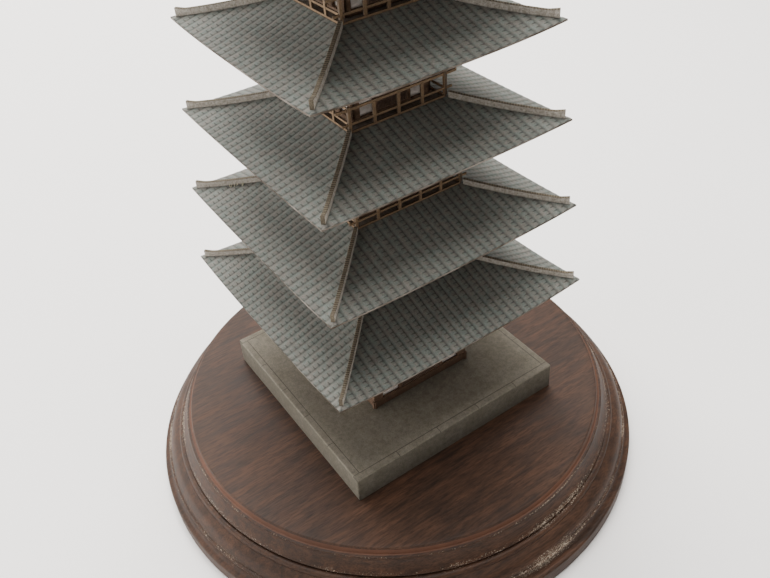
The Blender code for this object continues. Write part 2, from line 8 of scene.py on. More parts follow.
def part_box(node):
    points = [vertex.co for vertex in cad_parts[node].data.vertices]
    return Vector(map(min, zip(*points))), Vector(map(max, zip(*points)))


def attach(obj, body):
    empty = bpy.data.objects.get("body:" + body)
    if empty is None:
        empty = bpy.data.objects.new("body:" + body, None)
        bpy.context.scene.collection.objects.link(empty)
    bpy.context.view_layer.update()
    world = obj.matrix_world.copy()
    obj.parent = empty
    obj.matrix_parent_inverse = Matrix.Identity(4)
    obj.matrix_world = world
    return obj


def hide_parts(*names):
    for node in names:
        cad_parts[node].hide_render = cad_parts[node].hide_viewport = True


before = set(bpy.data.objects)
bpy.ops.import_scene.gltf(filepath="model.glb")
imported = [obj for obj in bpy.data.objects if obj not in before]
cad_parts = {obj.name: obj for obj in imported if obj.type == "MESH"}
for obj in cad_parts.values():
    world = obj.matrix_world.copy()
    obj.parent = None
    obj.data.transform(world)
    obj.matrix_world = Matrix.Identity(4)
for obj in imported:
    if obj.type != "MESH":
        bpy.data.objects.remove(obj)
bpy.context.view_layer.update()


# Camera
# The photograph looks down on one corner of the tower from close by, rolled
# a little. At azimuth 0 it would look along +Y. The sensor is 36 mm wide.
CAMERA_AZIMUTH = -31.547
CAMERA_ELEVATION = 39.791
CAMERA_ROLL = -4.961
CAMERA_PLACE = Vector((-0.11430, -0.18681, 0.24920))


def toward(azimuth, elevation):
    """The direction of an azimuth from +X and an elevation, in degrees."""
    turn, rise = math.radians(azimuth), math.radians(elevation)
    return Vector((math.cos(turn) * math.cos(rise), math.sin(turn) * math.cos(rise), math.sin(rise)))


camera_back = toward(CAMERA_AZIMUTH - 90.0, CAMERA_ELEVATION)
camera_right = toward(CAMERA_AZIMUTH, 0.0)
camera_turn = Matrix((camera_right, camera_back.cross(camera_right), camera_back)).transposed()
camera_data = bpy.data.cameras.new("camera")
camera_data.lens = 38.04
camera_data.sensor_width = 36.0
camera_data.clip_start = 0.005
camera = bpy.data.objects.new("camera", camera_data)
camera_turn = camera_turn.to_4x4() @ Matrix.Rotation(math.radians(CAMERA_ROLL), 4, "Z")
camera.matrix_world = Matrix.Translation(CAMERA_PLACE) @ camera_turn
bpy.context.scene.collection.objects.link(camera)
bpy.context.scene.camera = camera


# Floor and light
# A plain pale floor, and soft studio light from large panels. Most of it
# comes from high behind the tower and from the left, so that the faces
# towards the camera lie in soft shade.
PANEL_WIDTH = 0.9
PANEL_DISTANCE = 1.4
PANEL_AIM = Vector((0.0, 0.0, 0.1))
PANEL_COLOUR = (1.0, 0.98, 0.955)
FLOOR_HALF = 4.0
# Each panel: its name, azimuth and elevation in degrees, height and power.
PANELS = (
    ("overhead", 0, 89, 0.9, 23.0),
    ("high_back", 90, 55, 0.9, 20.0),
    ("high_right", 45, 55, 0.9, 18.5),
    ("low_back", 90, 22, 0.9, 11.5),
    ("level_left", 140, 4, 0.25, 17.0),
    ("side_left", 180, 22, 0.9, 5.0),
    ("low_left", 180, 9, 0.9, 5.0),
    ("front_fill", -45, 55, 0.9, 3.2),
)

floor_material = bpy.data.materials.new("floor")
floor_material.use_nodes = True
floor_shader = floor_material.node_tree.nodes["Principled BSDF"]
floor_shader.inputs["Base Color"].default_value = (0.93, 0.91, 0.89, 1.0)
floor_shader.inputs["Roughness"].default_value = 0.9
floor_shader.inputs["Specular IOR Level"].default_value = 0.1
floor_mesh = bpy.data.meshes.new("floor")
bm = bmesh.new()
bmesh.ops.create_grid(bm, x_segments=1, y_segments=1, size=FLOOR_HALF)
bm.to_mesh(floor_mesh)
bm.free()
floor_mesh.materials.append(floor_material)
floor = bpy.data.objects.new("floor", floor_mesh)
bpy.context.scene.collection.objects.link(floor)

for name, azimuth, elevation, height, power in PANELS:
    way = toward(azimuth, elevation)
    data = bpy.data.lights.new(name, "AREA")
    data.shape = "RECTANGLE"
    data.size = PANEL_WIDTH
    data.size_y = height
    data.energy = power
    data.color = PANEL_COLOUR
    light = bpy.data.objects.new(name, data)
    light.location = PANEL_AIM + way * PANEL_DISTANCE
    light.rotation_euler = (-way).to_track_quat("-Z", "Y").to_euler()
    bpy.context.scene.collection.objects.link(light)

world = bpy.data.worlds.new("surround")
world.use_nodes = True
surround = world.node_tree.nodes["Background"]
surround.inputs["Color"].default_value = (1.0, 0.98, 0.965, 1.0)
surround.inputs["Strength"].default_value = 0.3
bpy.context.scene.world = world


# Roofs
# Each roof is one sheet of card, printed and scored as rows of round tiles
# between pans, and folded over the four hips. Its burnt cut edge shows along
# the eaves, and the sheet is glued on the walls of its storey.
STOREYS = range(1, 6)
TOP_STOREY = 5
ROOT_TWO = math.sqrt(2)
FIRST_ROOF_HALF = 0.04670
ROOF_HALF_LESS = 0.00244
FIRST_TIP = 0.07672
STOREY_RISE = 0.02907
BALCONY_HALVES = (0.0220, 0.0191, 0.0162, 0.0145)
SEAT_MARGIN = 0.0004
SEAT_RISE = 0.00613
TOP_SEAT_HALF = 0.0056
TOP_SEAT_RISE = 0.0130
EAVE_SAGS = (0.0018, 0.0011, 0.0007, 0.0012, 0.0011)
ROOF_CARD = 0.0005
TUCKED_UNDER = 0.0036
TOP_HOLE_HALF = 0.0022
TILE_PITCH = 0.00286
COURSE_PITCH = 0.00166
COURSE_START = 0.1
# How far the rows of tiles are set over on the faces of each storey.
FRONT_SHIFTS = (0.99, 0.31, 0.20, 0.91, 0.0)
LEFT_SHIFTS = (0.54, 0.28, 0.45, 0.49, 0.0)
# The section of one row of tiles: share of the pitch, and height there.
TILE_STATIONS = (
    (0.00, -0.00003), (0.10, 0.0), (0.22, 0.00005), (0.34, 0.00007),
    (0.46, 0.00006), (0.58, 0.00002), (0.64, 0.0), (0.93, -0.00001),
)
PAN_FROM = 0.58
PAN_STEP = 0.00006
PAN_STEP_RUN = 0.00012
CUT_MARGIN = 0.0001
MERGE_WITHIN = 0.000001


def balcony_half(storey):
    """Half the width over the balcony rail of storeys 2 to 5."""
    return BALCONY_HALVES[storey - 2]


def roof_half(storey):
    """Half the width of the roof at its tips."""
    return FIRST_ROOF_HALF - ROOF_HALF_LESS * (storey - 1)


def tip_height(storey):
    """Height of the roof's four tips."""
    return FIRST_TIP + STOREY_RISE * (storey - 1)


def seat_half(storey):
    """Half the width of the level part that the next storey stands on."""
    return TOP_SEAT_HALF if storey == TOP_STOREY else balcony_half(storey + 1) + SEAT_MARGIN


def seat_height(storey):
    """Height of that level part."""
    return tip_height(storey) + (TOP_SEAT_RISE if storey == TOP_STOREY else SEAT_RISE)


def eave_dip(storey, share):
    """How far the eave hangs below its tips, at a share of its half length."""
    return EAVE_SAGS[storey - 1] * (1 - min(abs(share), 1.0) ** 2.8)


def roof_height(storey, half, share):
    """Height of the card's top face, at a half width and a share along it."""
    climb = min((roof_half(storey) - half) / (roof_half(storey) - seat_half(storey)), 1.0)
    rise = seat_height(storey) - tip_height(storey)
    height = tip_height(storey) + rise * (0.6 * climb + 0.4 * climb ** 2)
    return height - eave_dip(storey, share) * (1 - climb)


def new_piece(name, bm, slot, replaced, *materials):
    """Make the mesh a piece that rides on the body and replaces its node."""
    mesh = bpy.data.meshes.new(name)
    bm.to_mesh(mesh)
    bm.free()
    piece = bpy.data.objects.new(name, mesh)
    bpy.context.scene.collection.objects.link(piece)
    for material in materials:
        mesh.materials.append(material)
    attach(piece, "root")
    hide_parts(replaced)


def new_material(name, roughness, specular):
    """A Principled material; its tree and its shader."""
    material = bpy.data.materials.new(name)
    material.use_nodes = True
    shader = material.node_tree.nodes["Principled BSDF"]
    shader.inputs["Roughness"].default_value = roughness
    shader.inputs["Specular IOR Level"].default_value = specular
    return material, material.node_tree, shader


def feed(tree, socket, value):
    """Give a socket a number, a colour or the value of another socket."""
    if isinstance(value, (int, float)):
        socket.default_value = value
    elif isinstance(value, tuple):
        socket.default_value = (*value, 1.0)
    elif value is not None:
        tree.links.new(value, socket)


def math_node(tree, operation, first, second=None, third=None):
    """A Math node on sockets or numbers; its result socket."""
    node = tree.nodes.new("ShaderNodeMath")
    node.operation = operation
    for socket, value in zip(node.inputs, (first, second, third)):
        feed(tree, socket, value)
    return node.outputs[0]


def ramp_node(tree, value, stops):
    """A ramp through (place, brightness) stops; its result socket."""
    node = tree.nodes.new("ShaderNodeValToRGB")
    elements = node.color_ramp.elements
    while len(elements) < len(stops):
        elements.new(0.5)
    for element, (place, brightness) in zip(elements, stops):
        element.position = place
        element.color = (brightness, brightness, brightness, 1.0)
    tree.links.new(value, node.inputs[0])
    return node.outputs[0]


def noise_node(tree, vector, scale, detail, roughness):
    """Noise over a vector socket; its value socket."""
    node = tree.nodes.new("ShaderNodeTexNoise")
    settings = {"Vector": vector, "Scale": scale, "Detail": detail, "Roughness": roughness}
    for label, value in settings.items():
        feed(tree, node.inputs[label], value)
    return node.outputs["Fac"]


def mix_node(tree, factor, first, second, blend="MIX"):
    """A colour mix of sockets or colours; its result socket."""
    node = tree.nodes.new("ShaderNodeMix")
    node.data_type = "RGBA"
    node.blend_type = blend
    for index, value in ((0, factor), (6, first), (7, second)):
        feed(tree, node.inputs[index], value)
    return node.outputs[2]


def shade_node(tree, colour, value, stops):
    """The colour, made darker or lighter by a ramp over the value."""
    return mix_node(tree, 1.0, colour, ramp_node(tree, value, stops), "MULTIPLY")


def blend_node(tree, value, low, high, first, second):
    """First colour to second as the value goes from low to high."""
    return mix_node(tree, ramp_node(tree, value, [(low, 0.0), (high, 1.0)]), first, second)


def split_node(tree, vector):
    """The X, Y and Z sockets of a vector socket."""
    node = tree.nodes.new("ShaderNodeSeparateXYZ")
    tree.links.new(vector, node.inputs[0])
    return node.outputs


def paint(tree, shader, colour):
    """Send a colour socket to the shader's base colour."""
    tree.links.new(colour, shader.inputs["Base Color"])


def bump_node(tree, shader, height, strength, distance=0.0002):
    """Bump from a height socket into the shader."""
    node = tree.nodes.new("ShaderNodeBump")
    node.inputs["Strength"].default_value = strength
    node.inputs["Distance"].default_value = distance
    tree.links.new(height, node.inputs["Height"])
    tree.links.new(node.outputs[0], shader.inputs["Normal"])


def object_place(tree):
    """Object coordinates in metres."""
    return tree.nodes.new("ShaderNodeTexCoord").outputs["Object"]


def uv_parts(tree, layer):
    """The U and V sockets of one of the mesh's own UV maps."""
    node = tree.nodes.new("ShaderNodeUVMap")
    node.uv_map = layer
    return split_node(tree, node.outputs["UV"])


def new_effect(name, values, results):
    """A shader node group over a place; its tree, given and result sockets."""
    effect = bpy.data.node_groups.new(name, "ShaderNodeTree")
    effect.interface.new_socket(name="Place", in_out="INPUT", socket_type="NodeSocketVector")
    for label in values:
        effect.interface.new_socket(name=label, in_out="INPUT", socket_type="NodeSocketFloat")
    for label in results:
        effect.interface.new_socket(name=label, in_out="OUTPUT", socket_type="NodeSocketFloat")
    given, result = effect.nodes.new("NodeGroupInput"), effect.nodes.new("NodeGroupOutput")
    return effect, given.outputs, result.inputs


def place_effect(tree, effect, **values):
    """Put an effect into a material with its own values; its outputs."""
    node = tree.nodes.new("ShaderNodeGroup")
    node.node_tree = effect
    for label, value in values.items():
        feed(tree, node.inputs[label], value)
    return node.outputs


# Card fibre: Tone runs from dark to light over fibres, Height is their relief.
card_fibre, given, result = new_effect("card_fibre", ["Scale"], ["Tone", "Height"])
coarse = noise_node(card_fibre, given["Place"], given["Scale"], 5.0, 0.7)
finer_scale = math_node(card_fibre, "MULTIPLY", given["Scale"], 6.0)
fine = noise_node(card_fibre, given["Place"], finer_scale, 2.0, 0.6)
both = math_node(card_fibre, "MULTIPLY_ADD", fine, 0.5, math_node(card_fibre, "MULTIPLY", coarse, 0.5))
card_fibre.links.new(both, result["Tone"])
card_fibre.links.new(fine, result["Height"])

# Pale flecks: Mask is 1 on tiny specks of lint and dust, 0 elsewhere.
pale_flecks, given, result = new_effect("pale_flecks", ["Scale", "Amount"], ["Mask"])
cells = pale_flecks.nodes.new("ShaderNodeTexVoronoi")
pale_flecks.links.new(given["Place"], cells.inputs["Vector"])
pale_flecks.links.new(given["Scale"], cells.inputs["Scale"])
chosen = math_node(pale_flecks, "LESS_THAN", cells.outputs["Color"], given["Amount"])
near = math_node(pale_flecks, "LESS_THAN", cells.outputs["Distance"], 0.12)
pale_flecks.links.new(math_node(pale_flecks, "MULTIPLY", chosen, near), result["Mask"])


def fibres(tree, place, scale):
    """Card fibre over a place; its Tone and Height sockets."""
    outputs = place_effect(tree, card_fibre, Place=place, Scale=scale)
    return outputs["Tone"], outputs["Height"]


def mottled_card(name, roughness, specular, scale, depth, dark, light):
    """Card or board that goes from dark to light over its fibres."""
    material, tree, shader = new_material(name, roughness, specular)
    tone, relief = fibres(tree, object_place(tree), scale)
    paint(tree, shader, blend_node(tree, tone, 0.36, 0.64, dark, light))
    bump_node(tree, shader, relief, depth)
    return material


def face_outwards(bm):
    """Turn every face of the closed shapes outwards."""
    bmesh.ops.recalc_face_normals(bm, faces=bm.faces)


def only_verts(items):
    """The points among what an operator made."""
    return [item for item in items if isinstance(item, bmesh.types.BMVert)]


def roof_face(storey, shift):
    """One face towards -Y, cut along its hips, as a closed sheet."""
    half = roof_half(storey)
    inner = TOP_HOLE_HALF if storey == TOP_STOREY else balcony_half(storey + 1) - TUCKED_UNDER
    columns = [(-half, 0.0, False)]
    count = math.ceil(half / TILE_PITCH) + 1
    for tile in range(-count, count):
        for place, lift in TILE_STATIONS:
            x = (tile + place + shift) * TILE_PITCH
            if abs(x) < half - CUT_MARGIN:
                columns.append((x, lift, place >= PAN_FROM))
    columns.append((half, 0.0, False))
    rows = [(half, 0.0)]
    course = COURSE_START
    while half - course * COURSE_PITCH > seat_half(storey):
        low = half - course * COURSE_PITCH
        rows.append((low, 0.0))
        rows.append((low - PAN_STEP_RUN, PAN_STEP))
        course += 1
    rows.append((seat_half(storey), 0.0))
    rows.append((inner, 0.0))
    bm = bmesh.new()
    bmesh.ops.create_grid(bm, x_segments=len(columns) - 1, y_segments=len(rows) - 1, size=1.0)
    layer = bm.loops.layers.uv.new("tiles")
    for vert in bm.verts:
        x, lift, pan = columns[round((vert.co.x + 1) / 2 * (len(columns) - 1))]
        out, step = rows[round((1 - vert.co.y) / 2 * (len(rows) - 1))]
        vert.co = (x, -out, lift + (step if pan else 0.0))
    for sign in (1, -1):
        bmesh.ops.bisect_plane(
            bm, geom=bm.verts[:] + bm.edges[:] + bm.faces[:], dist=MERGE_WITHIN,
            plane_co=(0, 0, 0), plane_no=(sign, 1, 0), clear_outer=True,
        )
    for face in bm.faces:
        for loop in face.loops:
            place = loop.vert.co
            loop[layer].uv = (place.x / TILE_PITCH - shift, (half + place.y) / COURSE_PITCH - COURSE_START)
    for vert in bm.verts:
        out = -vert.co.y
        vert.co.z += roof_height(storey, out, vert.co.x / out)
    grown = bmesh.ops.extrude_face_region(bm, geom=bm.faces[:])["geom"]
    for vert in only_verts(grown):
        out = -vert.co.y
        vert.co.z = roof_height(storey, out, vert.co.x / out) - ROOF_CARD
    face_outwards(bm)
    for face in bm.faces:
        face.material_index = 0 if face.normal.z > 0.35 else 1
        if face.material_index == 0 and -face.calc_center_median().y < seat_half(storey) - CUT_MARGIN:
            face.material_index = 2
    return bm


def join_mesh(bm, other):
    """Add the other mesh to this one, and free it."""
    mesh = bpy.data.meshes.new("joined")
    other.to_mesh(mesh)
    other.free()
    bm.from_mesh(mesh)
    bpy.data.meshes.remove(mesh)


def turn_copies(bm, quarters):
    """Keep the mesh, made for the -Y side, turned onto the given sides."""
    side = bpy.data.meshes.new("side")
    bm.to_mesh(side)
    bm.clear()
    for quarter in quarters:
        turned = side.copy()
        turned.transform(Matrix.Rotation(quarter * math.pi / 2, 4, "Z"))
        bm.from_mesh(turned)
        bpy.data.meshes.remove(turned)
    bpy.data.meshes.remove(side)


def pair_sides(front, left):
    """The first mesh on the front and back, and the other on both sides."""
    turn_copies(front, (0, 2))
    turn_copies(left, (1, 3))
    join_mesh(front, left)
    return front


tile_print_and_shade, tree, shader = new_material("tile_print_and_shade", 0.8, 0.2)
tile_uv = uv_parts(tree, "tiles")
across = math_node(tree, "FRACT", tile_uv[0])
down = math_node(tree, "FRACT", math_node(tree, "ADD", tile_uv[1], 0.5))
place = object_place(tree)
tone, relief = fibres(tree, place, 500.0)
cast = noise_node(tree, place, 520.0, 3.0, 0.6)
# The dark notch at the lower edge of each pan is a painted shadow of its step; the same mask also dents
# the bump.
from_step = math_node(tree, "ABSOLUTE", math_node(tree, "SUBTRACT", down, 0.5))
wedge = math_node(tree, "MULTIPLY_ADD", across, 0.24, -0.07)
shadow_notch = math_node(tree, "MULTIPLY_ADD", math_node(tree, "SUBTRACT", wedge, from_step), 22.0, 0.5)
shadow_notch = math_node(tree, "MINIMUM", math_node(tree, "MAXIMUM", shadow_notch, 0.0), 1.0)
pan = ramp_node(tree, across, [(0.40, 0.0), (0.54, 1.0)])
shadow_notch = math_node(tree, "MULTIPLY", shadow_notch, pan)
base = blend_node(tree, cast, 0.38, 0.62, (0.145, 0.163, 0.146), (0.169, 0.159, 0.140))
# The rows of tiles are printed, and darker in the groove between the rows as painted shade.
with_painted_shade = shade_node(tree, base, across, [
    (0.0, 0.58), (0.09, 0.70), (0.23, 0.97), (0.36, 1.0), (0.55, 0.97),
    (0.78, 0.92), (0.90, 0.74), (1.0, 0.58),
])
with_step_shadow = mix_node(tree, math_node(tree, "MULTIPLY", shadow_notch, 0.58), with_painted_shade, (0.026, 0.027, 0.025))
grained = shade_node(tree, with_step_shadow, tone, [(0.36, 0.74), (0.64, 1.22)])
flecks = place_effect(tree, pale_flecks, Place=place, Scale=420.0, Amount=0.03)
paint(tree, shader, mix_node(tree, flecks["Mask"], grained, (0.36, 0.38, 0.34)))
bump_node(tree, shader, math_node(tree, "MULTIPLY_ADD", shadow_notch, -0.8, relief), 0.25)

cut_card, tree, shader = new_material("cut_card", 0.85, 0.2)
place = object_place(tree)
burn = noise_node(tree, place, 75.0, 2.0, 0.6)
tone, relief = fibres(tree, place, 900.0)
scorched = blend_node(tree, burn, 0.42, 0.66, (0.055, 0.040, 0.028), (0.20, 0.175, 0.15))
grained = shade_node(tree, scorched, tone, [(0.35, 0.70), (0.65, 1.25)])
paint(tree, shader, grained)
bump_node(tree, shader, relief, 0.3)

bare_card = mottled_card(
    "bare_card", 0.85, 0.2, 450.0, 0.2, (0.105, 0.088, 0.072), (0.180, 0.155, 0.130),
)

for storey in STOREYS:
    front = roof_face(storey, FRONT_SHIFTS[storey - 1])
    bm = pair_sides(front, roof_face(storey, LEFT_SHIFTS[storey - 1]))
    new_piece(
        f"tiled_roof_{storey}", bm, "tile_card", f"roof_{storey}", tile_print_and_shade, cut_card, bare_card,
    )


# Hip ridges
# A strip of thick grey card stands on edge along each hip, glued on the
# tiles. Its cut top is burnt brown, and its end kicks up near the corner.
# A few wisps of dried glue hang from the left strip of the second roof.
RIDGE_HALF_WIDTH = 0.00058
RIDGE_HEIGHT = 0.0019
RIDGE_END_HEIGHT = 0.0025
RIDGE_KICK = 0.0030
RIDGE_SHORTFALL = 0.00145
RIDGE_STATIONS = 36
RIDGE_CHAMFER = 0.0001
RIDGE_CLEAR = 0.00002
RIDGE_START_GAP = 0.00072
TOP_RIDGE_START = 0.0044
GLUE_HALF = 0.00009
GLUE_HANG = 0.0005
GLUE_FALL = 0.2
# Each wisp: the roof's half width there, its lean along the strip, its reach.
GLUE_WISPS = (
    (0.03095, 0.00015, 0.00105), (0.03130, -0.00020, 0.00090), (0.03240, 0.00030, 0.00060),
    (0.03330, -0.00045, 0.00095), (0.03375, 0.00040, 0.00105), (0.03450, -0.00015, 0.00055),
)


def sweep(bm, sections):
    """A closed bar through matching loops of points, capped at both ends."""
    previous = None
    for points in sections:
        ring = [bm.verts.new(point) for point in points]
        loop = [bm.edges.new(pair) for pair in zip(ring, ring[1:] + ring[:1])]
        if previous is None:
            bm.faces.new(ring)
        else:
            bmesh.ops.bridge_loops(bm, edges=previous + loop)
        previous = loop
    bm.faces.new(ring)
    face_outwards(bm)


def turn_about_axis(bm, verts, angle):
    """Turn the points about the tower's upright axis."""
    bmesh.ops.rotate(bm, verts=verts, cent=(0, 0, 0), matrix=Matrix.Rotation(angle, 3, "Z"))


def ridge_strip(storey):
    """The strip on the front hip, with its UV in millimetres along and up."""
    start = TOP_RIDGE_START if storey == TOP_STOREY else balcony_half(storey + 1) + RIDGE_START_GAP
    end = roof_half(storey) - RIDGE_SHORTFALL
    width = RIDGE_HALF_WIDTH
    shoulder = width - RIDGE_CHAMFER
    places = [start + (end - start) * step / RIDGE_STATIONS for step in range(RIDGE_STATIONS + 1)]
    sections = []
    for half in places:
        foot = roof_height(storey, half, 1.0) + RIDGE_CLEAR
        kick = max(0.0, 1 - (end - half) * ROOT_TWO / RIDGE_KICK)
        top = foot + RIDGE_HEIGHT + (RIDGE_END_HEIGHT - RIDGE_HEIGHT) * kick
        outline = [(-width, foot), (width, foot), (width, top - RIDGE_CHAMFER), (shoulder, top)]
        outline += [(-shoulder, top), (-width, top - RIDGE_CHAMFER)]
        sections.append([(half * ROOT_TWO, across, z) for across, z in outline])
    bm = bmesh.new()
    sweep(bm, sections)
    layer = bm.loops.layers.uv.new("run")
    for face in bm.faces:
        face.material_index = 1 if face.normal.z > 0.5 or face.normal.x > 0.7 else 0
        for loop in face.loops:
            place = loop.vert.co
            foot = roof_height(storey, place.x / ROOT_TWO, 1.0)
            loop[layer].uv = (place.x * 1000, (place.z - foot) * 1000)
    turn_about_axis(bm, bm.verts, -0.75 * math.pi)
    return bm


def glue_wisps(storey):
    """Wisps from the foot of the left strip, curved down onto the tiles."""
    bm = bmesh.new()
    for half, lean, reach in GLUE_WISPS:
        foot = roof_height(storey, half, 1.0)
        sections = []
        for share in (0.0, 0.3, 0.6, 1.0):
            along = half * ROOT_TWO + lean * share
            out = RIDGE_HALF_WIDTH - GLUE_HALF + reach * share
            height = foot + GLUE_HANG * (1 - share) ** 2 - GLUE_FALL * reach * share
            sections.append([
                (along + x * GLUE_HALF, out + z * GLUE_HALF, height + z * GLUE_HALF)
                for x, z in ((-1, -1), (1, -1), (1, 1), (-1, 1))
            ])
        sweep(bm, sections)
    for face in bm.faces:
        face.material_index = 2
    turn_about_axis(bm, bm.verts, 0.75 * math.pi)
    return bm


ridge_card, tree, shader = new_material("ridge_card", 0.8, 0.2)
place = object_place(tree)
tone, _ = fibres(tree, place, 700.0)
blotch = noise_node(tree, place, 1500.0, 3.0, 0.7)
grey = blend_node(tree, blotch, 0.35, 0.65, (0.232, 0.205, 0.170), (0.415, 0.385, 0.335))
# The side is painted darker towards its foot, where the strip meets the tiles: painted shade.
above_foot = uv_parts(tree, "run")[1]
with_painted_shade = shade_node(tree, grey, above_foot, [(0.0, 0.55), (0.16, 0.68), (0.34, 1.0)])
grained = shade_node(tree, with_painted_shade, tone, [(0.36, 0.80), (0.64, 1.18)])
paint(tree, shader, grained)
bump_node(tree, shader, blotch, 0.35)

ridge_top, tree, shader = new_material("ridge_top", 0.85, 0.2)
along = math_node(tree, "MULTIPLY", uv_parts(tree, "run")[0], 2.6)
teeth = ramp_node(tree, math_node(tree, "PINGPONG", along, 1.0), [(0.2, 0.0), (0.7, 1.0)])
tone, relief = fibres(tree, object_place(tree), 600.0)
brown = mix_node(tree, teeth, (0.056, 0.045, 0.031), (0.130, 0.108, 0.076))
grained = shade_node(tree, brown, tone, [(0.36, 0.6), (0.64, 1.5)])
paint(tree, shader, grained)
bump_node(tree, shader, math_node(tree, "ADD", teeth, relief), 0.4)

dried_glue = mottled_card("dried_glue", 0.45, 0.3, 900.0, 0.0, (0.34, 0.31, 0.22), (0.56, 0.52, 0.38))

for storey in STOREYS:
    bm = ridge_strip(storey)
    turn_copies(bm, range(4))
    materials = [ridge_card, ridge_top]
    if storey == 2:
        join_mesh(bm, glue_wisps(storey))
        materials.append(dried_glue)
    new_piece(f"card_ridges_{storey}", bm, "ridge_card", f"hip_ridges_{storey}", *materials)


# Sill rails and balustrades
# Storeys 2 to 5 have a balcony rail, cut from thin brown board: a sill strip
# glued on the roof, posts, and two rails. The rails on two sides run past
# the corners, with the top one turned up, and the others fit between.
DECK_RISE = 0.00653
SHEET_HALF = 0.00025
SHEET_EASE = 0.00005
POST_HALF = 0.00050
POST_PROUD = 0.0001
POST_FOOT = 0.0003
POST_PAST_RAIL = 0.0003
CORNER_POST_HALF = 0.00048
CORNER_POST_TOP = 0.0074
# The lower and the top rail: foot, height, reach past the corner, lift there.
RAILS = ((0.0019, 0.0007, 0.0024, 0.0), (0.0062, 0.0008, 0.0041, 0.0001))
RAIL_FLARE = 1.3
SHORT_RAIL_LESS = 0.00003
SILL_BELOW = 0.00038
SILL_ABOVE = 0.00025
SILL_EASE = 0.00004


def deck_height(storey):
    """Height at which the balcony of storeys 2 to 5 stands on the roof."""
    return tip_height(storey - 1) + DECK_RISE


def about(middle, half):
    """The two limits at an equal distance from the middle."""
    return middle - half, middle + half


def add_bar(bm, x_range, y_range, z_range):
    """One squared bar between the limits; its points."""
    sizes = [high - low for low, high in (x_range, y_range, z_range)]
    centre = [(high + low) / 2 for low, high in (x_range, y_range, z_range)]
    matrix = Matrix.Translation(centre) @ Matrix.Diagonal((*sizes, 1.0))
    return bmesh.ops.create_cube(bm, size=1.0, matrix=matrix)["verts"]


def ease_edges(bm, width):
    """Take the sharpness off every edge of the bars made so far."""
    bmesh.ops.bevel(
        bm, geom=bm.edges[:], offset=width, offset_type="OFFSET", segments=1,
        profile=0.5, affect="EDGES", material=-1, clamp_overlap=True,
    )


def rail_bar(bm, half, reach, foot, height, lift):
    """A rail along X; past the corners its ends rise by the lift."""
    stops = [half + reach * part for part in (1.0, 0.8, 0.6, 0.4, 0.2, 0.0)]
    stops = [-stop for stop in stops] + stops[::-1] if reach else [-half, half]
    sections = []
    for x in stops:
        past = (abs(x) - half) / reach if reach else 0.0
        low = foot + lift * past ** 2
        high = foot + height + RAIL_FLARE * lift * past ** 2
        y_front, y_back = about(-half, SHEET_HALF)
        sections.append([(x, y_front, low), (x, y_back, low), (x, y_back, high), (x, y_front, high)])
    sweep(bm, sections)


def mark_cut_edges(bm):
    """First material on the board's face and back, second on its cut edges."""
    for face in bm.faces:
        face.material_index = 0 if abs(face.normal.y) > 0.7 else 1


def balustrade_side(storey, long_rails):
    """The rails and posts of the -Y side, with the corner post on its left."""
    half = balcony_half(storey)
    deck = deck_height(storey)
    bm = bmesh.new()
    for foot, height, reach, lift in RAILS:
        if long_rails:
            rail_bar(bm, half, reach, deck + foot, height, lift)
        else:
            rail_bar(bm, half, 0.0, deck + foot + SHORT_RAIL_LESS, height - 2 * SHORT_RAIL_LESS, 0.0)
    bays = 5 if storey <= 3 else 4
    upright = (deck + POST_FOOT, deck + RAILS[1][0] + POST_PAST_RAIL)
    depth = about(-half, SHEET_HALF + POST_PROUD)
    for bay in range(1, bays):
        x = half * (2 * bay / bays - 1)
        add_bar(bm, about(x, POST_HALF), depth, upright)
    edge = about(-half, CORNER_POST_HALF)
    add_bar(bm, edge, edge, (deck + POST_FOOT, deck + CORNER_POST_TOP))
    ease_edges(bm, SHEET_EASE)
    mark_cut_edges(bm)
    return bm


def board_material(name, face_colour, dark_colour):
    """Stained board with a fine, mottled grain."""
    return mottled_card(name, 0.75, 0.25, 420.0, 0.3, dark_colour, face_colour)


rail_face = board_material("rail_face", (0.228, 0.150, 0.083), (0.130, 0.084, 0.049))
rail_cut = board_material("rail_cut", (0.105, 0.072, 0.045), (0.056, 0.039, 0.026))

for storey in STOREYS[1:]:
    bm = pair_sides(balustrade_side(storey, True), balustrade_side(storey, False))
    new_piece(f"balcony_rail_{storey}", bm, "rail_card", f"balustrade_{storey}", rail_face, rail_cut)

    half = balcony_half(storey)
    deck = deck_height(storey)
    bm = bmesh.new()
    run = (-half - SHEET_HALF, half - SHEET_HALF)
    add_bar(bm, run, about(-half, SHEET_HALF), (deck - SILL_BELOW, deck + SILL_ABOVE))
    ease_edges(bm, SILL_EASE)
    mark_cut_edges(bm)
    turn_copies(bm, range(4))
    new_piece(f"sill_rail_{storey}", bm, "rail_card", f"hip_ridges_{storey - 1}", rail_face, rail_cut)


# Plaster walls
# Each storey is a box of white card under the timber layer. It shows in the
# panels beside the doors, slightly grey and matt.
plaster = mottled_card("white_plaster", 0.85, 0.2, 350.0, 0.15, (0.66, 0.60, 0.54), (0.80, 0.75, 0.70))

for storey in STOREYS:
    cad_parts[f"walls_{storey}"].data.materials[0] = plaster


# Timber layer
# Posts, sill and head beam are stained board glued over the white box. Each
# double door is a thinner layer, with slats between its stiles and rails.
LAYER_DEPTH = 0.0010
LAYER_EASE = 0.00006
FIRST_SILL = 0.0030
FIRST_SILL_PAST = 0.0004
SILL = 0.0014
HEAD_BEAM = 0.0018
POST_WIDTH = 0.0012
POST_SET_BACK = 0.00012
DOOR_SHARE = 0.47
CORNER_POST_SHARE = 0.81
LEAF_SET_BACK = 0.0004
LEAF_GAP = 0.00005
LEAF_DEPTH = 0.0004
LEAF_SHEET = (0.00035, 0.00055)
STILE = 0.00045
MIDDLE_RAIL_SHARE = 0.36
LEAF_RAIL_BACK = 0.00003
SLAT_PITCH = 0.00052
SLAT_HALF = 0.00012
SLAT_BACK = 0.00012


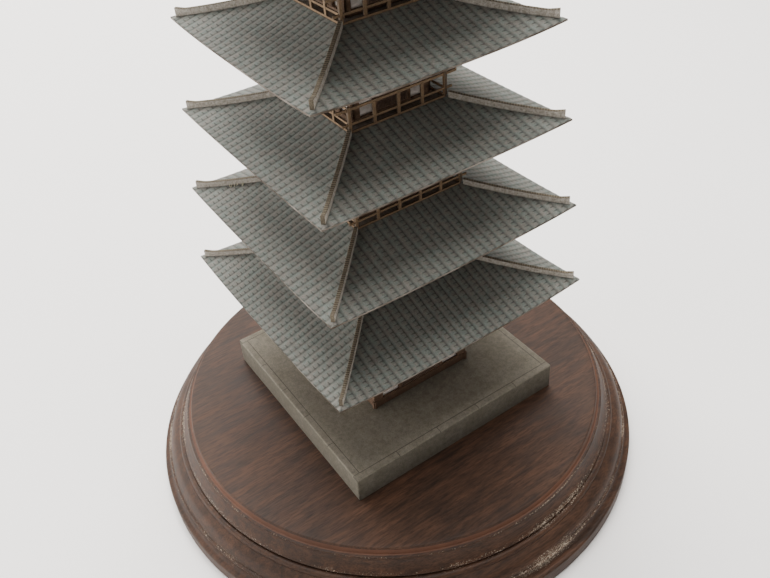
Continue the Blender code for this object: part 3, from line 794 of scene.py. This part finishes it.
def door_leaf(bm, x_range, z_range, front):
    """One leaf: a back sheet, stiles and rails, and upright slats."""
    left, right = x_range
    low, high = z_range
    back = -front + LEAF_DEPTH
    add_bar(bm, x_range, tuple(-front + depth for depth in LEAF_SHEET), z_range)
    for stile in ((left, left + STILE), (right - STILE, right)):
        add_bar(bm, stile, (-front, back), z_range)
    middle = low + (high - low) * MIDDLE_RAIL_SHARE
    for foot in (low, middle, high - STILE):
        add_bar(bm, x_range, (-front + LEAF_RAIL_BACK, back), (foot, foot + STILE))
    clear = right - left - 2 * STILE
    slats = round(clear / SLAT_PITCH)
    for slat in range(1, slats):
        x = left + STILE + clear * slat / slats
        add_bar(bm, about(x, SLAT_HALF), (-front + SLAT_BACK, back), z_range)


timber = board_material("stained_timber", (0.150, 0.090, 0.052), (0.075, 0.045, 0.028))
door_wood = board_material("door_wood", (0.155, 0.101, 0.069), (0.082, 0.053, 0.038))
first_timber = board_material("lower_timber", (0.127, 0.074, 0.045), (0.068, 0.040, 0.025))

for storey in STOREYS:
    (_, _, foot), (outer, _, head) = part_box(f"timber_frame_{storey}")
    inner = outer - LAYER_DEPTH
    sill, past = (FIRST_SILL, FIRST_SILL_PAST) if storey == 1 else (SILL, 0.0)
    door = outer * DOOR_SHARE - POST_WIDTH
    posts = ((door, door + POST_WIDTH), (outer * CORNER_POST_SHARE, outer - POST_SET_BACK))
    bay = (foot + sill, head - HEAD_BEAM)
    bm = bmesh.new()
    add_bar(bm, about(0.0, outer + past), (-outer, -inner), (foot, foot + sill))
    add_bar(bm, about(0.0, outer), (-outer, -inner), (head - HEAD_BEAM, head))
    for sign in (-1, 1):
        for near, far in posts:
            post = tuple(sorted((sign * near, sign * far)))
            add_bar(bm, post, (-outer + POST_SET_BACK, -inner), bay)
    ease_edges(bm, LAYER_EASE)
    for sign in (-1, 1):
        leaf = tuple(sorted((sign * LEAF_GAP, sign * door)))
        door_leaf(bm, leaf, bay, outer - LEAF_SET_BACK)
    for face in bm.faces:
        place = face.calc_center_median()
        face.material_index = 1 if abs(place.x) < door and bay[0] < place.z < bay[1] else 0
    turn_copies(bm, range(4))
    post_wood = first_timber if storey == 1 else timber
    new_piece(
        f"timber_layer_{storey}", bm, "timber_card", f"timber_frame_{storey}", post_wood, door_wood,
    )


# Brackets
# Under the eaves, stepped bracket sets of stained wood stand over the posts
# and on the corners: bearing blocks, arms along and across the wall, and the
# purlin on the outermost blocks.
TIERS = 3
BRACKET_REACH = 0.0085
PURLIN_HALF = 0.0007
PURLIN_HEIGHT = 0.0013
WALL_PLATE = (0.0009, 0.0001)
TIE_HALF = 0.0003
TIE_HEIGHT = 0.0005
BLOCK_HALF = 0.0008
BLOCK_BACK = 0.0006
BLOCK_SHARE = 0.34
OUT_ARM_HALF = 0.00042
OUT_ARM_PAST = 0.0004
OUT_ARM_SHARES = (0.3, 0.7)
CROSS_ARM_REACH = 0.0026
CROSS_ARM_HALF = 0.0004
CROSS_ARM_SHARE = 0.72
CROSS_ARM_UNDERSIDE = 0.72
TOP_BLOCK_PLACES = (-0.0022, 0.0, 0.0022)
TOP_BLOCK_HALF = 0.0004
TOP_BLOCK_DEPTH = 0.0005
CORNER_SET_SHARE = 0.9


def bracket_set(bm, half, low, high, scale, turn):
    """Three steps of blocks and arms that reach out from the wall."""
    made = bmesh.new()
    wall = half * scale
    reach = BRACKET_REACH * scale
    rise = (high - PURLIN_HEIGHT - low) / TIERS
    for step in range(TIERS):
        out = wall + reach * step / TIERS
        level = low + rise * step
        block_top = level + rise * BLOCK_SHARE
        add_bar(made, about(0.0, BLOCK_HALF), (-out - BLOCK_HALF, -out + BLOCK_BACK), (level, block_top))
        tip = -out - reach / TIERS - OUT_ARM_PAST
        upright = tuple(level + rise * share for share in OUT_ARM_SHARES)
        add_bar(made, about(0.0, OUT_ARM_HALF), (tip, -wall), upright)
        if scale > 1:
            continue
        arm_top = level + rise * CROSS_ARM_SHARE
        arm = add_bar(made, about(0.0, CROSS_ARM_REACH), about(-out, CROSS_ARM_HALF), (block_top, arm_top))
        for vert in arm:
            if vert.co.z < level + rise * 0.5:
                vert.co.x *= CROSS_ARM_UNDERSIDE
        for x in TOP_BLOCK_PLACES:
            block = (about(x, TOP_BLOCK_HALF), about(-out, TOP_BLOCK_DEPTH), (arm_top, level + rise))
            add_bar(made, *block)
    bmesh.ops.transform(made, matrix=turn, verts=made.verts)
    join_mesh(bm, made)


def turn_profile(bm, points, steps, slant=0.0):
    """Spin a profile of radius and height into a closed shape."""
    verts = [bm.verts.new((radius, slant * radius, height)) for radius, height in points]
    edges = [bm.edges.new(pair) for pair in zip(verts, verts[1:])]
    bmesh.ops.spin(
        bm, geom=verts + edges, cent=(0, 0, 0), axis=(0, 0, 1), dvec=(0, 0, 0),
        angle=math.tau, steps=steps, use_merge=True,
    )
    bmesh.ops.remove_doubles(bm, verts=bm.verts, dist=2 * MERGE_WITHIN)
    face_outwards(bm)


def turn_band(bm, inner, outer, low, high, steps, slant=0.0):
    """A ring about the axis, spun from a squared section."""
    outline = [(outer, low), (outer, high), (inner, high), (inner, low), (outer, low)]
    turn_profile(bm, outline, steps, slant)


def board_ring(bm, inner, outer, low, high):
    """A square ring of board, mitred at its corners."""
    turn_band(bm, inner, outer, low, high, 4, 1.0)


for storey in STOREYS:
    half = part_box(f"timber_frame_{storey}")[1][0]
    low, high = (corner[2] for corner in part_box(f"bracket_tier_{storey}"))
    bm = bmesh.new()
    board_ring(bm, half - WALL_PLATE[0], half + WALL_PLATE[1], low, high)
    board_ring(bm, *about(half + BRACKET_REACH, PURLIN_HALF), high - PURLIN_HEIGHT, high)
    rise = (high - PURLIN_HEIGHT - low) / TIERS
    for step in range(1, TIERS):
        out = half + BRACKET_REACH * step / TIERS
        top = low + rise * (step + 1)
        board_ring(bm, *about(out, TIE_HALF), top - TIE_HEIGHT, top)
    post = half * DOOR_SHARE - POST_WIDTH / 2
    corner = half * CORNER_SET_SHARE
    for side in range(4):
        turn = Matrix.Rotation(side * math.pi / 2, 4, "Z")
        for x in (-corner, -post, post, corner):
            bracket_set(bm, half, low, high, 1.0, turn @ Matrix.Translation((x, 0, 0)))
        diagonal = Matrix.Rotation((side + 0.5) * math.pi / 2, 4, "Z")
        bracket_set(bm, half, low, high, ROOT_TWO, diagonal)
    new_piece(f"brackets_{storey}", bm, "timber_card", f"bracket_tier_{storey}", timber)


# Eaves boards
# A thin brown board closes each roof from below. Square rafters, cut from
# the same board, lie under it from the wall to the eave.
BOARD = 0.0003
EAVES_INSET = 0.0024
EAVES_GAP = 0.00025
EAVES_RISE = 0.10
RAFTER_HALF = 0.0003
RAFTER_DEPTH = 0.0008
RAFTER_PITCH = 0.0017
RAFTER_SHORT = 0.0002
RAFTER_MITRE = 0.0004
SHORTEST_RAFTER = 0.001


def eaves_height(storey, inner, half, share):
    """Height of the board's upper face."""
    outer = roof_half(storey) - EAVES_INSET
    edge = roof_height(storey, outer, 1.0) - ROOF_CARD - EAVES_GAP
    fade = (half - inner) / (outer - inner)
    return edge + EAVES_RISE * (outer - half) - eave_dip(storey, share) * fade


for storey in STOREYS:
    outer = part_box(f"eaves_board_{storey}")[1][0]
    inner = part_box(f"walls_{storey}")[1][0]
    bm = bmesh.new()
    bmesh.ops.create_grid(bm, x_segments=24, y_segments=4, size=1.0)
    for vert in bm.verts:
        out = inner + (outer - inner) * (1 - vert.co.y) / 2
        vert.co = (vert.co.x * out, -out, eaves_height(storey, inner, out, vert.co.x))
    grown = bmesh.ops.extrude_face_region(bm, geom=bm.faces[:])["geom"]
    bmesh.ops.translate(bm, verts=only_verts(grown), vec=(0, 0, -BOARD))
    face_outwards(bm)
    count = int(outer / RAFTER_PITCH)
    for rafter in range(-count, count + 1):
        x = rafter * RAFTER_PITCH
        near = max(inner, abs(x) + RAFTER_MITRE)
        if near > outer - SHORTEST_RAFTER:
            continue
        bar = add_bar(bm, about(x, RAFTER_HALF), (-outer + RAFTER_SHORT, -near), (-RAFTER_DEPTH, -BOARD))
        for vert in bar:
            out = -vert.co.y
            vert.co.z += eaves_height(storey, inner, out, min(abs(x) / out, 1.0))
    turn_copies(bm, range(4))
    new_piece(f"rafter_board_{storey}", bm, "timber_card", f"eaves_board_{storey}", timber)


# Podium
# The pagoda stands on a squared block of grey-brown card, with a line
# engraved a little inside its edges and a short cut at each slab's joint.
PODIUM_ROUND = 0.0005
LINE_INSET = 0.0024
LINE_HALF = 0.00014
CUT_HALF = 0.00012
SLAB_PITCHES = (0.01675, 0.0158)

block, tree, shader = new_material("podium_card", 0.82, 0.2)
place = object_place(tree)
parts = split_node(tree, place)
(_, _, low), (half, _, high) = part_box("podium")
along = [math_node(tree, "ABSOLUTE", parts[axis]) for axis in (0, 1)]
from_line = math_node(tree, "SUBTRACT", half - LINE_INSET, math_node(tree, "MAXIMUM", *along))
lines = math_node(tree, "LESS_THAN", math_node(tree, "ABSOLUTE", from_line), LINE_HALF)
for axis, pitch in enumerate(SLAB_PITCHES):
    slab = math_node(tree, "FRACT", math_node(tree, "MULTIPLY_ADD", parts[axis], 1 / pitch, 20.0))
    off = math_node(tree, "ABSOLUTE", math_node(tree, "SUBTRACT", slab, 0.5))
    cut = math_node(tree, "LESS_THAN", off, CUT_HALF / pitch)
    beyond = math_node(tree, "GREATER_THAN", along[1 - axis], half - LINE_INSET)
    lines = math_node(tree, "MAXIMUM", lines, math_node(tree, "MULTIPLY", cut, beyond))
on_top = math_node(tree, "GREATER_THAN", parts[2], high - PODIUM_ROUND)
lines = math_node(tree, "MULTIPLY", lines, on_top)
tone, relief = fibres(tree, place, 650.0)
cloud = noise_node(tree, place, 160.0, 4.0, 0.7)
base = blend_node(tree, cloud, 0.38, 0.62, (0.136, 0.121, 0.092), (0.149, 0.133, 0.105))
grained = shade_node(tree, base, tone, [(0.38, 0.74), (0.62, 1.24)])
# The sides are painted darker than the top: painted shade.
painted_side_shade = math_node(tree, "MULTIPLY_ADD", on_top, 0.23, 0.77)
with_painted_shade = mix_node(tree, 1.0, grained, painted_side_shade, "MULTIPLY")
lined = mix_node(tree, math_node(tree, "MULTIPLY", lines, 0.7), with_painted_shade, (0.030, 0.025, 0.019))
flecks = place_effect(tree, pale_flecks, Place=place, Scale=520.0, Amount=0.05)
paint(tree, shader, mix_node(tree, flecks["Mask"], lined, (0.42, 0.38, 0.27)))
bump_node(tree, shader, math_node(tree, "SUBTRACT", relief, lines), 0.35, 0.0003)

bm = bmesh.new()
add_bar(bm, about(0.0, half), about(0.0, half), (low, high))
edges = [edge for edge in bm.edges if max(vert.co.z for vert in edge.verts) > low + PODIUM_ROUND]
rounded = bmesh.ops.bevel(
    bm, geom=edges, offset=PODIUM_ROUND, offset_type="OFFSET", segments=4,
    profile=0.5, affect="EDGES", material=-1,
)
for face in rounded["faces"]:
    face.smooth = True
new_piece("slab_podium", bm, "podium_card", "podium", block)


# Stand
# A round plinth turned from one piece of wood, stained and polished dark.
# A disc with a fine lip, a steep band, a bead and a round, and a flat foot.
# The sharp turned edges are chipped and show the pale wood.
STAND_STEPS = 192
RED_RING_RADIUS = 0.0769
RED_RING_HALF = 0.0005
RED_RING_FOOT = 0.0225
# The chipped edges: radius, height, and how far the chips reach from them.
CHIPPED_EDGES = ((0.0809, 0.0174, 0.0019), (0.0878, 0.0099, 0.0030), (0.0783, 0.0231, 0.0005))


def arc(centre, radius, first, last, steps):
    """Points on an arc of the profile, with the angles in degrees."""
    places = (math.radians(first + (last - first) * step / steps) for step in range(steps + 1))
    return [(centre[0] + radius * math.cos(turn), centre[1] + radius * math.sin(turn)) for turn in places]


def smooth_shallow(bm, limit):
    """Shade smooth, but keep the edges that fold more than the limit sharp."""
    for face in bm.faces:
        face.smooth = True
    for edge in bm.edges:
        if len(edge.link_faces) == 2 and edge.calc_face_angle(0.0) > math.radians(limit):
            edge.smooth = False


def length_node(tree, first, second):
    """The length of the slope over two sides at a right angle."""
    squared = math_node(tree, "MULTIPLY", second, second)
    return math_node(tree, "SQRT", math_node(tree, "MULTIPLY_ADD", first, first, squared))


profile = [(0.0, 0.0255), (0.0745, 0.0255)]
profile += arc((0.0758, 0.0250), 0.0005, 90, 20, 4)
profile += [(0.0767, 0.0238), (0.0770, 0.0233)]
profile += arc((0.0780, 0.0229), 0.0003, 110, -40, 5)
profile += [(0.0784, 0.0218), (0.0789, 0.0206), (0.0796, 0.0193), (0.0804, 0.0181)]
profile += arc((0.0807, 0.0174), 0.0003, 60, -70, 5)
profile += [(0.0805, 0.0167), (0.0806, 0.0164)]
profile += arc((0.0815, 0.0152), 0.0013, 115, -10, 9)
profile += arc((0.0818, 0.0093), 0.0054, 62, 10, 10)
profile += arc((0.0875, 0.0098), 0.0004, 80, -40, 5)
profile += [(0.0876, 0.0090), (0.0877, 0.0082), (0.0881, 0.0074), (0.0888, 0.0068)]
profile += arc((0.0895, 0.0058), 0.0008, 90, 0, 6)
profile += arc((0.0893, 0.0010), 0.0010, 0, -80, 5)
profile += [(0.0890, 0.0), (0.0, 0.0)]

wood, tree, shader = new_material("turned_wood", 0.5, 0.2)
place = object_place(tree)
parts = split_node(tree, place)
radius = length_node(tree, parts[0], parts[1])
stretch = tree.nodes.new("ShaderNodeMapping")
stretch.inputs["Scale"].default_value = (1.0, 8.0, 12.0)
tree.links.new(place, stretch.inputs["Vector"])
grain = noise_node(tree, stretch.outputs[0], 55.0, 4.0, 0.65)
pores = noise_node(tree, stretch.outputs[0], 260.0, 2.0, 0.6)
stain = blend_node(tree, grain, 0.36, 0.64, (0.0225, 0.011, 0.006), (0.0485, 0.0222, 0.0117))
stain = shade_node(tree, stain, pores, [(0.34, 0.60), (0.56, 1.12)])
off_ring = math_node(tree, "ABSOLUTE", math_node(tree, "SUBTRACT", radius, RED_RING_RADIUS))
ring = math_node(tree, "LESS_THAN", off_ring, RED_RING_HALF)
high_up = math_node(tree, "GREATER_THAN", parts[2], RED_RING_FOOT)
red = math_node(tree, "MULTIPLY", math_node(tree, "MULTIPLY", ring, high_up), 0.7)
stain = mix_node(tree, red, stain, (0.090, 0.036, 0.019))
chip_grain = noise_node(tree, place, 2400.0, 2.0, 0.7)
worn_places = noise_node(tree, place, 38.0, 3.0, 0.6)
stain = shade_node(tree, stain, worn_places, [(0.34, 0.78), (0.66, 1.28)])
chips = 0.0
for edge_radius, edge_height, reach in CHIPPED_EDGES:
    across = math_node(tree, "SUBTRACT", radius, edge_radius)
    up = math_node(tree, "SUBTRACT", parts[2], edge_height)
    away = math_node(tree, "DIVIDE", length_node(tree, across, up), reach)
    chips = math_node(tree, "MAXIMUM", chips, math_node(tree, "SUBTRACT", 1.0, away))
chance = math_node(tree, "MULTIPLY_ADD", worn_places, 0.9, math_node(tree, "MULTIPLY", chip_grain, 1.6))
chips = math_node(tree, "MINIMUM", math_node(tree, "MULTIPLY", chips, 1.6), 1.0)
chipped = math_node(tree, "MULTIPLY_ADD", chips, 0.25, chance)
chipped = ramp_node(tree, math_node(tree, "MULTIPLY", chipped, 0.5), [(0.838, 0.0), (0.863, 1.0)])
chipped = math_node(tree, "MULTIPLY", chipped, math_node(tree, "GREATER_THAN", chips, 0.02))
paint(tree, shader, mix_node(tree, chipped, stain, (0.26, 0.215, 0.165)))
worn = math_node(tree, "MULTIPLY_ADD", grain, 0.2, 0.46)
tree.links.new(math_node(tree, "MULTIPLY_ADD", chipped, 0.4, worn), shader.inputs["Roughness"])
bump_node(tree, shader, math_node(tree, "SUBTRACT", pores, chipped), 0.25, 0.0003)

bm = bmesh.new()
turn_profile(bm, profile, STAND_STEPS)
smooth_shallow(bm, 38)
new_piece("turned_stand", bm, "turned_wood", "stand", wood)


# Mast
# The bronze finial above the top roof: a square dew basin, an inverted bowl
# under an open lotus, nine spoked rings on a shaft, the openwork flame, and
# the wheel and jewel at the tip. Each part is threaded on the shaft.
bronze, tree, shader = new_material("bronze", 0.42, 0.5)
place = object_place(tree)
shader.inputs["Metallic"].default_value = 0.85
tarnish = noise_node(tree, place, 240.0, 4.0, 0.65)
tone, relief = fibres(tree, place, 500.0)
paint(tree, shader, blend_node(tree, tarnish, 0.36, 0.64, (0.085, 0.070, 0.045), (0.245, 0.190, 0.110)))
tree.links.new(math_node(tree, "MULTIPLY_ADD", tarnish, 0.4, 0.25), shader.inputs["Roughness"])
bump_node(tree, shader, relief, 0.15, 0.0001)

METAL_EASE = 0.00006
TIER_OVERLAP = 0.00002
PANEL_PITCH = 0.0027
PANEL_HALF = 0.0009
PANEL_DEPTH = (-0.00425, -0.0039)
PANEL_HEIGHTS = (0.0010, 0.0025)

(_, _, low), (lip, _, high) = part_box("dew_basin")
bm = bmesh.new()
for reach, foot, top in (
    (0.0044, low, low + 0.0006), (0.0040, low + 0.0006, low + 0.0029),
    (0.0044, low + 0.0029, low + 0.0032), (lip, low + 0.0032, high),
):
    add_bar(bm, about(0.0, reach), about(0.0, reach), (foot - TIER_OVERLAP, top))
upright = tuple(low + height for height in PANEL_HEIGHTS)
for side in range(4):
    for x in (-PANEL_PITCH, 0.0, PANEL_PITCH):
        panel = add_bar(bm, about(x, PANEL_HALF), PANEL_DEPTH, upright)
        turn_about_axis(bm, panel, side * math.pi / 2)
ease_edges(bm, METAL_EASE)
new_piece("dew_basin_box", bm, "mast_metal", "dew_basin", bronze)

BOWL_RADIUS = 0.0036
LOTUS_RISE = 0.0016
LOTUS_NECK = 0.0010
PETALS = 16
PETAL_SHEET = 0.0002
# Each station of a petal: share of its rise, reach from the axis, half width.
PETAL_STATIONS = (
    (0.0, 0.0009, 0.0003), (0.30, 0.0024, 0.0008), (0.62, 0.0034, 0.0009),
    (0.86, 0.0040, 0.0005), (1.0, 0.0041, 0.00005),
)

(_, _, low), (_, _, high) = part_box("inverted_bowl")
dome = high - LOTUS_RISE
neck = dome + 2 * PETAL_SHEET
bm = bmesh.new()
profile = [(0.0, low), (BOWL_RADIUS, low)]
for turn in (0.25, 0.5, 0.75, 1.0, 1.25):
    profile.append((BOWL_RADIUS * math.cos(turn), low + (dome - low) * math.sin(turn)))
profile += [(LOTUS_NECK, dome), (LOTUS_NECK, neck), (0.0, neck)]
turn_profile(bm, profile, 40)
smooth_shallow(bm, 40)
for petal in range(PETALS):
    size = 1.0 if petal % 2 else 0.8
    turn = Matrix.Rotation(petal * math.tau / PETALS, 3, "Z")
    rows = []
    for rise, reach, width in PETAL_STATIONS:
        height = dome + PETAL_SHEET + (high - neck) * rise
        outer, inner, top = reach * size, reach * size - PETAL_SHEET, height + PETAL_SHEET
        ring = [(outer, -width, height), (outer, width, height), (inner, width, top), (inner, -width, top)]
        rows.append([turn @ Vector(point) for point in ring])
    sweep(bm, rows)
new_piece("bowl_and_lotus", bm, "mast_metal", "inverted_bowl", bronze)

RINGS = 9
FIRST_RING = 0.0030
RING_PITCH = 0.0052
RING_RADIUS = 0.0042
RING_LESS = 0.00015
HOOP_WIDTH = 0.0004
HOOP_HEIGHT = 0.0008
HUB_RADII = (0.0006, 0.0012)
HUB_HEIGHTS = (0.0001, 0.0007)
SPOKES = 8
SPOKE_FOOT = 0.0010
SPOKE_HALF = 0.00015
SPOKE_HEIGHTS = (0.0002, 0.0006)

(_, _, low), (_, _, high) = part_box("ringed_mast")
bm = bmesh.new()
turn_profile(bm, [(0.0, low), (0.0008, low), (0.0007, high), (0.0, high)], 20)
for ring in range(RINGS):
    radius = RING_RADIUS - RING_LESS * ring
    foot = low + FIRST_RING + RING_PITCH * ring
    turn_band(bm, radius - HOOP_WIDTH, radius, foot, foot + HOOP_HEIGHT, 40)
    turn_band(bm, *HUB_RADII, *(foot + height for height in HUB_HEIGHTS), 20)
    upright = tuple(foot + height for height in SPOKE_HEIGHTS)
    for spoke in range(SPOKES):
        bar = add_bar(bm, (SPOKE_FOOT, radius - HOOP_WIDTH / 2), about(0.0, SPOKE_HALF), upright)
        turn_about_axis(bm, bar, spoke * math.tau / SPOKES)
smooth_shallow(bm, 40)
new_piece("nine_rings", bm, "mast_metal", "ringed_mast", bronze)

FLAME_PLATE = 0.0006
# The outline of each tongue of flame, as shares of the reach and the height.
TONGUES = (
    (
        (0.2, 0.0), (1.0, 0.34), (0.62, 0.62), (0.34, 0.80), (0.0, 0.92),
        (0.16, 0.70), (0.30, 0.50), (0.40, 0.34), (0.28, 0.16),
    ),
    ((0.0, 0.30), (0.22, 0.44), (0.10, 0.66), (0.22, 0.90), (0.0, 1.0), (-0.12, 0.62)),
)

(_, _, low), (reach, _, high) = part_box("water_flame")
tall = high - low
bm = bmesh.new()
turn_profile(bm, [(0.0, low), (0.0006, low), (0.0004, high - 0.0003), (0.0, high)], 12)
for side in range(4):
    for tongue in TONGUES:
        points = [(across * reach, -FLAME_PLATE / 2, low + up * tall) for across, up in tongue]
        outline = [bm.verts.new(point) for point in points]
        grown = bmesh.ops.extrude_face_region(bm, geom=[bm.faces.new(outline)])["geom"]
        verts = only_verts(grown)
        bmesh.ops.translate(bm, verts=verts, vec=(0, FLAME_PLATE, 0))
        turn_about_axis(bm, verts + outline, side * math.pi / 2)
face_outwards(bm)
new_piece("openwork_flame", bm, "mast_metal", "water_flame", bronze)

(_, _, low), (_, _, high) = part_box("jewel")
bm = bmesh.new()
profile = [(0.0, low), (0.0005, low), (0.0005, low + 0.0010)]
profile += arc((0.0, low + 0.0025), 0.0015, -70, 70, 14)
profile += arc((0.0, low + 0.0059), 0.0019, -75, 40, 14)
profile += [(0.0010, high - 0.0006), (0.0003, high - 0.0001), (0.0, high)]
turn_profile(bm, profile, 36)
smooth_shallow(bm, 50)
new_piece("wheel_and_jewel", bm, "mast_metal", "jewel", bronze)
